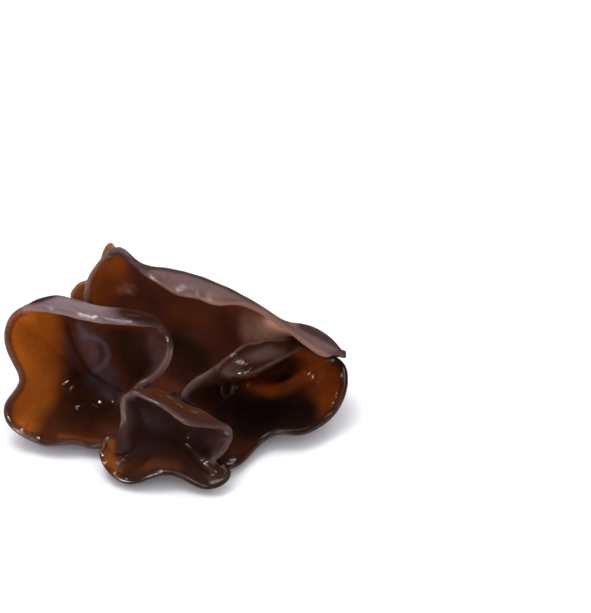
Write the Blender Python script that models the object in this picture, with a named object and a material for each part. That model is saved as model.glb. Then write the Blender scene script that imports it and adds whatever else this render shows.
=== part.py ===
"""A cluster of wood ears grown from one foot, at its real size, in metres with +Z up.

Each ear is a sheet of soft flesh with a rounded margin: a smooth surface runs through hand-placed
points, and the flesh lies half to each side of it. The cluster is set out as it looks from the
front and above, so most points are given in millimetres across that view, millimetres up it, and
height above the cut. The origin is the middle of the cut under the foot; +X is to the right.
"""
import math

import bpy
import numpy as np
from mathutils.bvhtree import BVHTree

MM = 0.001

FLESH = 1.8              # thickness of an ear at its middle
MARGIN = 1.5             # thickness along its margin
TIGHTEST = 0.75          # how much of a bend's radius the flesh inside it may fill
MARGIN_GIVE = 2e-5       # how far the sheet may stray from its points to stay smooth, at the margin
SHEET_GIVE = 2e-3        # and elsewhere
ROUNDING = 0.06          # how widely the sheet rounds off at its points, as a share of its reach
GAP = 0.6                # clearance between the foot and the ears above it

BASE_MIDDLE = (-0.5, -2.0)
BASE_RADIUS = 12.0       # of the cut face, on average
BASE_HEIGHT = 8.0        # of the knot that stands between the ears
BASE_EDGE = 1.2          # how high the foot stands at its outline

VIEW_TILT = math.radians(40)     # how steeply the view looks down
VIEW_DISTANCE = 700.0
VIEW_CENTRE = (28.9, 25.6)       # across and up, where the view is aimed

SPOKES = 40              # divisions round an ear
RINGS = 9                # divisions from its middle to its margin
EDGE_TURNS = 3           # facets round its margin
BASE_SPOKES = 44
BASE_RINGS = 12

RIGHT = np.array((1.0, 0.0, 0.0))
UP_VIEW = np.array((0.0, math.sin(VIEW_TILT), math.cos(VIEW_TILT)))
AHEAD = np.array((0.0, math.cos(VIEW_TILT), -math.sin(VIEW_TILT)))
EYE = VIEW_CENTRE[0] * RIGHT + VIEW_CENTRE[1] * UP_VIEW - VIEW_DISTANCE * AHEAD


def seen(across, up, height):
    """The point at this height on the line of sight through a place in the view."""
    through = across * RIGHT + up * UP_VIEW
    reach = (height - EYE[2]) / (through[2] - EYE[2])
    return EYE + reach * (through - EYE)


# Each ear has its margin, a closed loop of (across, up, height), and the rest of its sheet:
# "shown" points are (towards which margin point, how far out, across, up, height), and
# "behind" points, which the view doesn't reach, are (towards, how far out, x, y, z).
LEFT_EAR = {
    "margin": [
        (0.0, 16.0, 21.5), (-0.8, 19.0, 23.8), (-3.0, 20.3, 25.2), (-7.0, 20.9, 26.5),
        (-12.0, 21.3, 27.0), (-17.0, 21.8, 27.2), (-22.0, 22.7, 27.0), (-27.0, 23.9, 26.3),
        (-31.5, 24.6, 25.6), (-35.6, 24.7, 24.6), (-38.1, 22.5, 22.0), (-39.1, 18.5, 19.0),
        (-38.0, 14.5, 16.5), (-36.2, 11.0, 14.5), (-35.6, 8.0, 12.5), (-37.3, 5.0, 10.5),
        (-39.0, 2.3, 8.5), (-38.8, -0.7, 6.5), (-36.8, -3.3, 5.0), (-33.5, -5.3, 3.8),
        (-29.5, -6.8, 3.0), (-25.0, -6.5, 3.6), (-21.5, -6.7, 3.2), (-18.3, -7.5, 2.8),
        (-15.6, -7.2, 3.0), (-12.6, -6.2, 4.2), (-10.2, -2.5, 6.5), (-8.5, 2.5, 9.5),
        (-7.5, 6.8, 12.5), (-4.5, 8.7, 15.0), (-1.5, 11.5, 18.2),
    ],
    "shown": [
        (0, 0.0, -13.0, 4.0, 3.5),
        (2.4, 0.89, -4.0, 22.5, 27.4), (3.2, 0.87, -7.5, 23.8, 28.7), (4, 0.87, -12.0, 24.6, 29.3),
        (5, 0.87, -17.0, 24.9, 29.6), (6, 0.87, -22.0, 26.3, 29.8), (7, 0.87, -27.0, 27.4, 29.0),
        (8, 0.87, -31.5, 26.5, 27.8),
        (10.5, 0.60, -32.0, 18.0, 13.5), (12, 0.75, -33.0, 12.5, 11.5), (12, 0.48, -27.5, 11.0, 7.8),
        (15, 0.75, -32.0, 5.0, 6.5), (15, 0.45, -25.5, 4.5, 3.6), (18, 0.65, -31.0, -0.5, 2.8),
        (21, 0.60, -22.0, -2.0, 1.8), (25, 0.50, -16.0, 0.0, 2.6), (29.5, 0.60, -8.0, 8.0, 9.5),
        (7.0, 0.52, -24.5, 17.0, 12.2), (6.6, 0.40, -22.0, 12.5, 8.2), (5.6, 0.26, -18.0, 8.6, 5.2),
        (5.2, 0.58, -17.5, 15.5, 15.2), (4.4, 0.46, -14.5, 12.0, 11.2), (3.0, 0.56, -9.5, 14.0, 14.2),
        (0.5, 0.70, -4.0, 14.0, 15.8), (2.6, 0.36, -11.5, 9.0, 7.6),
    ],
    "behind": [
        (7.3, 0.68, -27.0, 13.5, 20.0), (5.2, 0.72, -17.5, 9.6, 21.5), (3.5, 0.72, -9.0, 7.2, 21.5),
        (8.8, 0.68, -31.5, 13.0, 17.5),
    ],
}
BACK_EAR = {
    "margin": [
        (40.6, 13.8, 14.8), (38.0, 14.2, 15.6), (36.0, 13.7, 16.2), (33.0, 15.2, 18.0),
        (30.0, 17.4, 19.8), (27.0, 19.7, 21.5), (24.0, 22.0, 23.3), (21.0, 24.0, 25.0),
        (18.0, 25.3, 26.2), (15.0, 26.0, 27.0), (12.0, 25.8, 27.5), (9.0, 26.1, 28.0),
        (6.5, 27.2, 28.6), (4.0, 27.7, 29.0), (1.0, 28.2, 29.5), (-1.5, 29.7, 30.0),
        (-4.0, 31.3, 30.6), (-6.5, 33.0, 31.2), (-9.0, 35.1, 31.8), (-11.2, 37.0, 32.0),
        (-13.2, 37.8, 31.6), (-15.2, 37.5, 30.6), (-17.2, 35.8, 29.0), (-19.0, 33.0, 27.0),
        (-20.2, 30.0, 24.5), (-20.3, 27.0, 22.0),
    ],
    "margin_behind": [
        (-19.0, 15.5, 15.0), (-15.5, 14.5, 9.0), (-11.0, 12.0, 5.5), (-7.6, 7.2, 3.1),
        (0.0, 1.0, 4.4), (6.5, 1.5, 4.0), (12.5, 6.5, 2.8), (20.0, 10.5, 3.6),
        (29.0, 12.0, 5.6), (36.5, 11.2, 9.0), (40.5, 8.2, 12.4),
    ],
    "shown": [
        (2, 0.88, 37.0, 15.7, 17.0), (3, 0.88, 33.8, 18.9, 18.9), (4.2, 0.88, 30.0, 20.6, 21.2),
        (5.4, 0.89, 26.4, 21.4, 23.0), (6.8, 0.89, 22.4, 23.9, 25.3), (8.2, 0.88, 18.2, 26.6, 27.4),
        (9.8, 0.86, 13.4, 29.2, 29.2), (11.6, 0.85, 8.0, 31.3, 30.7), (13.4, 0.84, 2.8, 32.9, 31.8),
        (15, 0.84, -1.6, 33.9, 32.4), (16.6, 0.86, -5.4, 34.4, 32.7), (19.6, 0.90, -12.2, 38.9, 32.9),
        (23, 0.70, -15.0, 33.0, 25.0), (24, 0.55, -14.5, 28.0, 19.0), (20, 0.55, -7.0, 27.5, 20.0),
        (14, 0.50, 3.0, 24.0, 17.0), (14, 0.25, 3.0, 18.0, 11.0), (30, 0.30, 3.0, 12.0, 6.0),
        (30, 0.75, 1.5, 8.0, 4.0), (10, 0.50, 12.0, 22.0, 16.0), (9, 0.20, 12.0, 16.0, 9.5),
        (7.5, 0.60, 20.5, 21.0, 18.0), (7, 0.40, 20.0, 17.5, 12.5), (5, 0.60, 27.0, 18.0, 15.5),
    ],
    "behind": [
        (3, 0.60, 35.0, 9.6, 13.5), (12, 0.66, 6.0, 16.5, 24.0), (18, 0.72, -7.0, 20.5, 26.0),
        (9, 0.70, 15.0, 13.5, 22.0),
    ],
}
RIGHT_EAR = {
    "margin": [
        (2.5, 4.8, 13.0), (4.8, 8.0, 15.0), (8.5, 10.5, 16.5), (12.0, 13.1, 18.0),
        (16.0, 16.2, 19.3), (21.0, 17.6, 19.5), (27.0, 18.4, 18.8), (31.0, 17.0, 16.5),
        (35.0, 15.0, 14.2), (38.8, 13.6, 13.0), (40.8, 11.2, 11.8), (41.0, 7.3, 9.5),
        (39.7, 3.2, 7.0), (37.6, 0.0, 5.0), (34.0, -2.8, 4.0), (30.0, -4.3, 4.0),
        (26.0, -4.0, 4.5), (22.5, -5.0, 3.6), (19.0, -8.0, 2.6), (15.6, -11.3, 2.2),
        (11.8, -12.2, 2.6), (9.6, -8.0, 4.4), (8.6, -2.5, 6.5), (6.0, 1.4, 9.0),
        (3.4, 2.9, 11.0),
    ],
    "shown": [
        (0, 0.0, 17.0, 1.5, 3.3),
        (3.3, 0.91, 13.2, 11.3, 17.2), (4.3, 0.92, 17.5, 13.8, 18.6), (5.3, 0.93, 22.0, 15.2, 18.9),
        (6.3, 0.94, 27.5, 17.0, 18.0),
        (3.4, 0.84, 13.5, 9.5, 16.2), (4.2, 0.84, 16.8, 9.6, 17.2), (4.6, 0.845, 18.5, 10.1, 17.5),
        (5.0, 0.85, 20.3, 10.9, 17.6), (5.4, 0.86, 22.3, 11.9, 17.6), (5.8, 0.87, 24.5, 13.2, 17.3),
        (6.6, 0.89, 28.8, 15.7, 16.2),
        (5.0, 0.60, 21.0, 10.4, 9.2), (5.8, 0.62, 25.5, 12.0, 9.9), (6.7, 0.69, 29.5, 13.8, 11.5),
        (4.2, 0.42, 19.0, 8.0, 9.5), (5.4, 0.37, 23.0, 6.8, 9.2), (6.6, 0.43, 27.5, 7.8, 9.4),
        (7.8, 0.58, 31.5, 10.6, 10.2),
        (9.5, 0.66, 34.5, 10.0, 9.6), (11, 0.75, 37.5, 7.0, 7.6), (9.0, 0.30, 26.0, 3.5, 4.4),
        (14, 0.45, 29.0, -0.5, 2.8), (17, 0.50, 21.0, -2.5, 2.5), (20, 0.60, 15.5, -6.5, 2.4),
        (23, 0.55, 10.5, 3.0, 5.5), (1, 0.65, 8.5, 6.5, 9.5), (0, 0.80, 5.0, 5.0, 10.5),
        (12.5, 0.65, 35.0, 2.5, 4.6),
    ],
    "behind": [
        (4.2, 0.73, 17.0, 0.4, 12.8), (5.0, 0.73, 20.5, 3.0, 13.0), (5.8, 0.75, 25.0, 5.6, 13.4),
        (5.4, 0.48, 24.0, 4.0, 6.2),
    ],
}
FRONT_EAR = {
    "margin": [
        (-11.5, 4.7, 16.0), (-9.0, 4.9, 16.8), (-5.0, 3.2, 17.0), (-2.0, 1.6, 16.8),
        (0.5, -0.3, 16.3), (3.0, -1.9, 15.4), (6.0, -2.7, 14.4), (10.0, -3.0, 13.2),
        (13.4, -3.2, 12.2), (14.1, -5.0, 10.6), (13.1, -7.2, 9.2), (11.6, -9.1, 7.8),
        (9.8, -10.6, 6.4), (11.6, -11.6, 5.0), (13.5, -12.4, 4.4), (13.8, -13.6, 3.6),
        (12.5, -15.6, 2.6), (9.5, -16.9, 2.0), (6.5, -16.6, 2.2), (3.5, -15.0, 3.2),
        (1.0, -13.9, 4.0), (-2.0, -13.6, 4.4), (-5.0, -14.3, 3.8), (-8.0, -15.3, 2.8),
        (-11.0, -15.6, 2.0), (-13.8, -14.2, 2.4), (-16.0, -11.7, 3.2), (-17.0, -8.8, 4.4),
        (-16.3, -6.0, 6.0), (-14.7, -4.2, 7.0), (-13.0, -4.4, 8.4), (-12.0, -3.2, 10.6),
        (-11.7, -0.5, 12.8), (-12.2, 2.5, 14.8),
    ],
    "shown": [
        (0, 0.0, 0.0, -5.5, 4.6),
        (1.4, 0.88, -7.6, 5.5, 17.9), (2.2, 0.86, -4.4, 5.5, 18.3), (3.3, 0.85, -1.0, 4.4, 18.0),
        (4.6, 0.86, 2.5, 1.9, 16.9), (6, 0.87, 6.5, 0.5, 15.6), (6.8, 0.89, 8.6, -0.5, 14.6),
        (2, 0.45, -6.0, -1.0, 8.6), (4, 0.40, -1.0, -2.5, 7.4), (8, 0.60, 9.0, -4.5, 9.3),
        (10.6, 0.62, 8.6, -8.0, 6.4), (12.6, 0.66, 7.4, -10.6, 5.6), (10.0, 0.36, 4.4, -6.8, 5.4),
        (15, 0.75, 10.0, -13.5, 3.4), (19, 0.60, 2.0, -10.5, 3.4), (22, 0.60, -4.0, -10.5, 3.2),
        (24.6, 0.72, -9.0, -12.4, 2.6), (28, 0.84, -14.6, -8.5, 4.0), (30.6, 0.74, -11.8, -7.0, 9.2),
        (32, 0.72, -9.8, -1.5, 11.8), (27.0, 0.66, -12.4, -10.6, 6.0), (30, 0.46, -8.0, -6.0, 6.2),
    ],
    "behind": [
        (2, 0.68, -5.5, -9.0, 14.0), (4.5, 0.66, 1.0, -11.5, 13.0), (7, 0.70, 8.0, -14.5, 10.5),
    ],
}
REAR_EAR = {
    "margin": [
        (-23.8, 28.4, 17.0), (-22.9, 30.0, 18.3), (-21.6, 31.2, 19.2), (-19.6, 31.5, 20.2),
        (-17.6, 34.0, 23.5), (-16.3, 37.6, 27.6), (-15.5, 39.3, 29.2), (-14.5, 40.5, 30.2),
        (-13.2, 38.6, 29.6),
    ],
    "margin_behind": [
        (-10.5, 24.6, 27.0), (-8.8, 24.8, 22.0), (-9.5, 23.2, 14.0), (-9.8, 17.0, 5.6),
        (-8.0, 10.5, 1.8), (-8.5, 7.0, 1.3), (-11.5, 8.5, 1.4), (-16.5, 14.5, 3.0),
        (-21.0, 20.0, 7.5), (-23.5, 23.0, 12.5),
    ],
    "shown": [],
    "behind": [
        (0, 0.0, -15.5, 22.5, 12.0), (4.0, 0.5, -16.0, 25.5, 20.0), (13, 0.6, -10.5, 13.0, 3.8),
    ],
}


def thin_plate(distance):
    """The bending form of a thin plate round one point that holds it, rounded off at the point."""
    square = distance**2 + ROUNDING**2
    return square * np.log(square) / 2


def sheet_of(ear):
    """Returns place(out, turn), the smooth surface through an ear's points, in millimetres."""
    margin = [seen(*p) for p in ear["margin"]] + [np.array(p) for p in ear.get("margin_behind", [])]
    margin = np.array(margin)
    steps = np.sqrt(np.linalg.norm(np.roll(margin, -1, axis=0) - margin, axis=1))
    turns = np.concatenate([[0.0], np.cumsum(steps)]) / steps.sum()
    number = np.arange(len(turns))
    flat = [(math.cos(2 * math.pi * t), math.sin(2 * math.pi * t)) for t in turns[:-1]]
    held = list(margin)
    give = [MARGIN_GIVE] * len(margin)
    for rows, to_point in ((ear["shown"], seen), (ear["behind"], lambda *p: np.array(p))):
        for towards, out, *where in rows:
            angle = 2 * math.pi * np.interp(towards % len(margin), number, turns)
            flat.append((out * math.cos(angle), out * math.sin(angle)))
            held.append(to_point(*where))
            give.append(SHEET_GIVE)
    flat = np.array(flat)
    held = np.array(held)
    count = len(flat)
    apart = np.linalg.norm(flat[:, None] - flat[None], axis=2)
    level = np.column_stack([np.ones(count), flat])
    system = np.zeros((count + 3, count + 3))
    system[:count, :count] = thin_plate(apart) + np.diag(give)
    system[:count, count:] = level
    system[count:, :count] = level.T
    weights = np.linalg.solve(system, np.vstack([held, np.zeros((3, 3))]))

    def place(out, turn):
        spot = np.stack([out * np.cos(2 * math.pi * turn), out * np.sin(2 * math.pi * turn)], axis=-1)
        reach = thin_plate(np.linalg.norm(spot[..., None, :] - flat, axis=-1))
        return reach @ weights[:count] + weights[count] + spot @ weights[count + 1:]

    return place


def mesh_of(name, points, faces):
    mesh = bpy.data.meshes.new(name)
    mesh.from_pydata([tuple(float(v) * MM for v in p) for p in points], [], faces)
    mesh.update()
    mesh.shade_smooth()
    return mesh


def rows_of_quads(first, rows, count):
    """Quads between rings of points that follow one another, each ring closed."""
    faces = []
    for row in range(rows - 1):
        a = first + row * count
        b = a + count
        for i in range(count):
            j = (i + 1) % count
            faces.append((a + i, a + j, b + j, b + i))
    return faces


def bend(normal, middle, axis):
    """How much the sheet bends along one direction of its grid, per millimetre."""
    if axis == 1:
        turned = np.roll(normal, -1, 1) - np.roll(normal, 1, 1)
        moved = np.roll(middle, -1, 1) - np.roll(middle, 1, 1)
    else:
        turned = np.gradient(normal, axis=0)
        moved = np.gradient(middle, axis=0)
    return (turned * moved).sum(-1) / (moved**2).sum(-1)


def ear_mesh(name, ear, spokes, rings, edge_turns, extra=0.0):
    """A closed mesh of an ear. extra is added to its thickness, for the foot to fit under."""
    place = sheet_of(ear)
    turn = np.arange(spokes) / spokes
    small = 1e-3
    edge = np.ones(spokes)
    slope = (place(edge + small, turn) - place(edge - small, turn)) / (2 * small)
    # the rounding of the margin, and not the middle of the flesh, reaches the outline
    reach = 1 - (MARGIN / 2) / np.linalg.norm(slope, axis=-1)
    steps = np.sin(np.linspace(0, math.pi / 2, rings + 1))[1:] ** 0.9
    out = steps[:, None] * reach
    turn = np.broadcast_to(turn, out.shape)
    middle = place(out, turn)
    along = place(out, turn + small) - place(out, turn - small)
    outward = place(out + small, turn) - place(out - small, turn)
    normal = np.cross(along, outward)
    normal /= np.linalg.norm(normal, axis=-1, keepdims=True)
    centre = place(np.zeros(1), np.zeros(1))[0]
    centre_normal = normal[0].mean(axis=0)
    centre_normal /= np.linalg.norm(centre_normal)

    half = (FLESH + (MARGIN - FLESH) * out**2 + extra) / 2
    sides = []
    for side in (1, -1):
        bends = np.maximum(-side * bend(normal, middle, 0), -side * bend(normal, middle, 1))
        room = TIGHTEST / np.maximum(bends, 1e-6)
        room[-1] = half[-1]
        sides.append(side * np.minimum(half, room)[..., None] * normal)
    rim_out = outward[-1] / np.linalg.norm(outward[-1], axis=-1, keepdims=True)
    points = [centre + centre_normal * half[0].mean()]
    points += list((middle + sides[0]).reshape(-1, 3))
    for step in range(1, edge_turns + 1):
        angle = math.pi * step / (edge_turns + 1)
        around = normal[-1] * math.cos(angle) + rim_out * math.sin(angle)
        points += list(middle[-1] + half[-1][:, None] * around)
    points += list((middle + sides[1])[::-1].reshape(-1, 3))
    points.append(centre - centre_normal * half[0].mean())

    rows = 2 * rings + edge_turns
    last_ring = 1 + (rows - 1) * spokes
    faces = rows_of_quads(1, rows, spokes)
    for i in range(spokes):
        j = (i + 1) % spokes
        faces.append((0, 1 + j, 1 + i))
        faces.append((len(points) - 1, last_ring + i, last_ring + j))
    return mesh_of(name, points, faces)


EARS = {"left_ear": LEFT_EAR, "back_ear": BACK_EAR, "right_ear": RIGHT_EAR,
        "front_ear": FRONT_EAR, "rear_ear": REAR_EAR}


def base_mesh(name, covers):
    """The foot: a knotted mound on its flat cut, kept under every cover that stands over it."""
    trees = []
    for cover in covers:
        corners = [v.co for v in cover.vertices]
        trees.append(BVHTree.FromPolygons(corners, [p.vertices for p in cover.polygons]))

    def top(x, y, out):
        knots = 0.6 * math.sin(0.9 * x + 1.0) * math.cos(0.8 * y) * (1 - out)
        height = BASE_EDGE + (BASE_HEIGHT - BASE_EDGE) * (1 - out**2) ** 0.8 + knots
        for tree in trees:
            for aside, ahead in ((0, 0), (0.9, 0), (-0.9, 0), (0, 0.9), (0, -0.9)):
                start = ((x + aside) * MM, (y + ahead) * MM, -MM)
                hit = tree.ray_cast(start, (0, 0, 1))[0]
                if hit is not None:
                    height = min(height, hit.z / MM)
        return height

    rings = []
    for row in range(BASE_RINGS, 0, -1):
        out = row / BASE_RINGS
        for i in range(BASE_SPOKES):
            angle = 2 * math.pi * i / BASE_SPOKES
            lobes = 1 + 0.08 * math.sin(2 * angle + 0.4) + 0.06 * math.sin(3 * angle + 2.0)
            x = BASE_MIDDLE[0] + out * BASE_RADIUS * lobes * math.cos(angle)
            y = BASE_MIDDLE[1] + out * BASE_RADIUS * lobes * math.sin(angle)
            rings.append((x, y, top(x, y, out)))
    cut = [(x, y, 0.0) for x, y, _ in rings[:BASE_SPOKES]]
    points = cut + rings + [(*BASE_MIDDLE, top(*BASE_MIDDLE, 0.0))]
    faces = [tuple(reversed(range(BASE_SPOKES)))]
    faces += rows_of_quads(0, BASE_RINGS + 1, BASE_SPOKES)
    inner_ring = BASE_RINGS * BASE_SPOKES
    for i in range(BASE_SPOKES):
        j = (i + 1) % BASE_SPOKES
        faces.append((inner_ring + i, inner_ring + j, len(points) - 1))
    return mesh_of(name, points, faces)


def flesh_material(name, colour, roughness):
    material = bpy.data.materials.new(name)
    material.use_nodes = True
    shader = material.node_tree.nodes["Principled BSDF"]
    shader.inputs["Base Color"].default_value = (*colour, 1.0)
    shader.inputs["Roughness"].default_value = roughness
    return material


def add(name, mesh, material):
    mesh.materials.append(material)
    bpy.context.scene.collection.objects.link(bpy.data.objects.new(name, mesh))


for old in list(bpy.data.objects):
    bpy.data.objects.remove(old)

covers = []
for ear_name, ear in EARS.items():
    wet = flesh_material(ear_name + "_flesh", (0.10, 0.035, 0.018), 0.25)
    add(ear_name, ear_mesh(ear_name, ear, SPOKES, RINGS, EDGE_TURNS), wet)
    covers.append(ear_mesh(ear_name + "_cover", ear, SPOKES, RINGS, EDGE_TURNS, 2 * GAP))
add("base", base_mesh("base", covers), flesh_material("base_flesh", (0.05, 0.02, 0.012), 0.5))
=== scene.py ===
"""How the cluster of wood ears looks: its wet flesh, light and camera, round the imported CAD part."""
import math

import bmesh
import bpy
import numpy as np
from mathutils import Matrix, Vector, noise


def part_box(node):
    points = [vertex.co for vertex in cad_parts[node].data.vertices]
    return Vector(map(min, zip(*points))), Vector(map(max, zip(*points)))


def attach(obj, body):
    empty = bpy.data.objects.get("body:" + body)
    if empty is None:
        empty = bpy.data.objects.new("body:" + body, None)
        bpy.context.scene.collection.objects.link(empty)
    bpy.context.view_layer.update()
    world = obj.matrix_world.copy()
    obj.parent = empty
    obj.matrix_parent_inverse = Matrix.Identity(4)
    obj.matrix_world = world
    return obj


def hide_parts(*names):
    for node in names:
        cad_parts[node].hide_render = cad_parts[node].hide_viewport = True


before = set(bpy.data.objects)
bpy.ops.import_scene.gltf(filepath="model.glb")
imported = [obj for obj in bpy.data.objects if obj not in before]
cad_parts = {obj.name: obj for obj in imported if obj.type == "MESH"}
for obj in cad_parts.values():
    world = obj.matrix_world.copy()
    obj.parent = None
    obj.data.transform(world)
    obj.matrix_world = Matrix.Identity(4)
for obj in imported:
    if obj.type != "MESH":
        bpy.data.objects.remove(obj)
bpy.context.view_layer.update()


# The left ear is the largest cup of the cluster, open to the front, with its long edge rolled
# over its mouth. It is wet, springy flesh under 2 mm thick, smooth and shining inside, downy
# outside, and amber where light comes through it. At its narrow bottom it grows into the foot.
MM = 0.001
FLESH = 1.8              # thickness at the middle of an ear, in millimetres like all places below
MARGIN = 1.5             # thickness along its margin
TIGHTEST = 0.75          # how much of a bend's radius the flesh inside it may fill
MARGIN_GIVE = 2e-5       # how far the sheet may stray from its points to stay smooth, at the margin
SHEET_GIVE = 2e-3        # and elsewhere
ROUNDING = 0.06          # how widely the sheet rounds off at its points, as a share of its reach
SPOKES = 420             # divisions round an ear
RINGS = 90               # and from its middle to its margin
RING_SPREAD = 0.9        # under 1 sets the rings near an ear's middle further apart
SOFT_CREASE = 0.07       # height of an ear's soft creases at its margin
SOFT_WIDTH = 4.0         # and about how wide they are
FINE_CREASE = 0.03       # height of the finer creases on them, at the margin too
FINE_WIDTH = 1.6
MARGIN_BAND = 1.1        # how far in from its edge an ear has the look of its margin

VIEW_TILT = math.radians(40)     # how steeply the view looks down on the cluster
VIEW_DISTANCE = 700.0
VIEW_CENTRE = (28.9, 25.6)       # across and up, where the view is aimed
RIGHT = np.array((1.0, 0.0, 0.0))
UP_VIEW = np.array((0.0, math.sin(VIEW_TILT), math.cos(VIEW_TILT)))
AHEAD = np.array((0.0, math.cos(VIEW_TILT), -math.sin(VIEW_TILT)))
EYE = VIEW_CENTRE[0] * RIGHT + VIEW_CENTRE[1] * UP_VIEW - VIEW_DISTANCE * AHEAD

# The points that a sheet runs through: (across, up, height) round its margin, (towards, how far
# out, across, up, height) where the view shows it, and (towards, how far out, x, y, z) where the
# view doesn't. The margin's points are counted from 0, and the margin is 1 out from the middle.
LEFT_MARGIN = [
    (0.0, 16.0, 21.5), (-0.8, 19.0, 23.8), (-3.0, 20.3, 25.2), (-7.0, 20.9, 26.5),
    (-12.0, 21.3, 27.0), (-17.0, 21.8, 27.2), (-22.0, 22.7, 27.0), (-27.0, 23.9, 26.3),
    (-31.5, 24.6, 25.6), (-35.6, 24.7, 24.6), (-38.1, 22.5, 22.0), (-39.1, 18.5, 19.0),
    (-38.0, 14.5, 16.5), (-36.2, 11.0, 14.5), (-35.6, 8.0, 12.5), (-37.3, 5.0, 10.5),
    (-39.0, 2.3, 8.5), (-38.8, -0.7, 6.5), (-36.8, -3.3, 5.0), (-33.5, -5.3, 3.8),
    (-29.5, -6.8, 3.0), (-25.0, -6.5, 3.6), (-21.5, -6.7, 3.2), (-18.3, -7.5, 2.8),
    (-15.6, -7.2, 3.0), (-12.6, -6.2, 4.2), (-10.2, -2.5, 6.5), (-8.5, 2.5, 9.5),
    (-7.5, 6.8, 12.5), (-4.5, 8.7, 15.0), (-1.5, 11.5, 18.2),
]
LEFT_SHOWN = [
    (0, 0.0, -13.0, 4.0, 3.5),
    (2.4, 0.89, -4.0, 22.5, 27.4), (3.2, 0.87, -7.5, 23.8, 28.7), (4, 0.87, -12.0, 24.6, 29.3),
    (5, 0.87, -17.0, 24.9, 29.6), (6, 0.87, -22.0, 26.3, 29.8), (7, 0.87, -27.0, 27.4, 29.0),
    (8, 0.87, -31.5, 26.5, 27.8),
    (10.5, 0.60, -32.0, 18.0, 13.5), (12, 0.75, -33.0, 12.5, 11.5), (12, 0.48, -27.5, 11.0, 7.8),
    (15, 0.75, -32.0, 5.0, 6.5), (15, 0.45, -25.5, 4.5, 3.6), (18, 0.65, -31.0, -0.5, 2.8),
    (21, 0.60, -22.0, -2.0, 1.8), (25, 0.50, -16.0, 0.0, 2.6), (29.5, 0.60, -8.0, 8.0, 9.5),
    (7.0, 0.52, -24.5, 17.0, 12.2), (6.6, 0.40, -22.0, 12.5, 8.2), (5.6, 0.26, -18.0, 8.6, 5.2),
    (5.2, 0.58, -17.5, 15.5, 15.2), (4.4, 0.46, -14.5, 12.0, 11.2), (3.0, 0.56, -9.5, 14.0, 14.2),
    (0.5, 0.70, -4.0, 14.0, 15.8), (2.6, 0.36, -11.5, 9.0, 7.6),
]
LEFT_HIDDEN = [
    (7.3, 0.68, -27.0, 13.5, 20.0), (5.2, 0.72, -17.5, 9.6, 21.5), (3.5, 0.72, -9.0, 7.2, 21.5),
    (8.8, 0.68, -31.5, 13.0, 17.5),
]
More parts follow.
